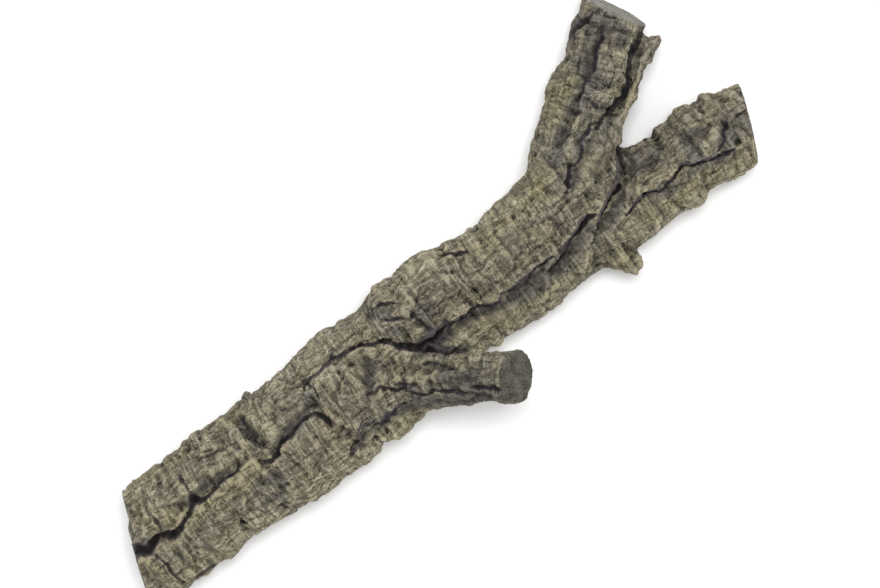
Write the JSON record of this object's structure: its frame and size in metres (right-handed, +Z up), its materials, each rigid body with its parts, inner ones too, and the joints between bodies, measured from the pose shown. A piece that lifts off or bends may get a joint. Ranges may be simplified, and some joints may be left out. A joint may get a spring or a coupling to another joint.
{
  "type": "cork branch",
  "caption": "Thick cork-oak branch with rough cracked bark, a short sawn side branch and a forked end, lying on its flat underside.",
  "frame": {"origin": "middle of the branch's box in plan, at the level of the surface that it lies on", "axes": "+X along the trunk from the sawn butt to the forks, +Y to the side that the bent fork leaves on, +Z up"},
  "size_m": [0.6674, 0.2527, 0.141],
  "materials": {
    "trunk_bark": "dry, rough, grey-brown cork bark with yellow-green patches",
    "side_branch_bark": "dry, rough, grey cork bark, sawn end grey",
    "bent_fork_bark": "dry, rough, grey cork bark with long fine cracks"
  },
  "bodies": {
    "root": {"lower_trunk": "trunk_bark", "upper_trunk": "trunk_bark", "side_branch": "side_branch_bark", "straight_fork": "trunk_bark", "bent_fork": "bent_fork_bark"}
  },
  "joints": []
}
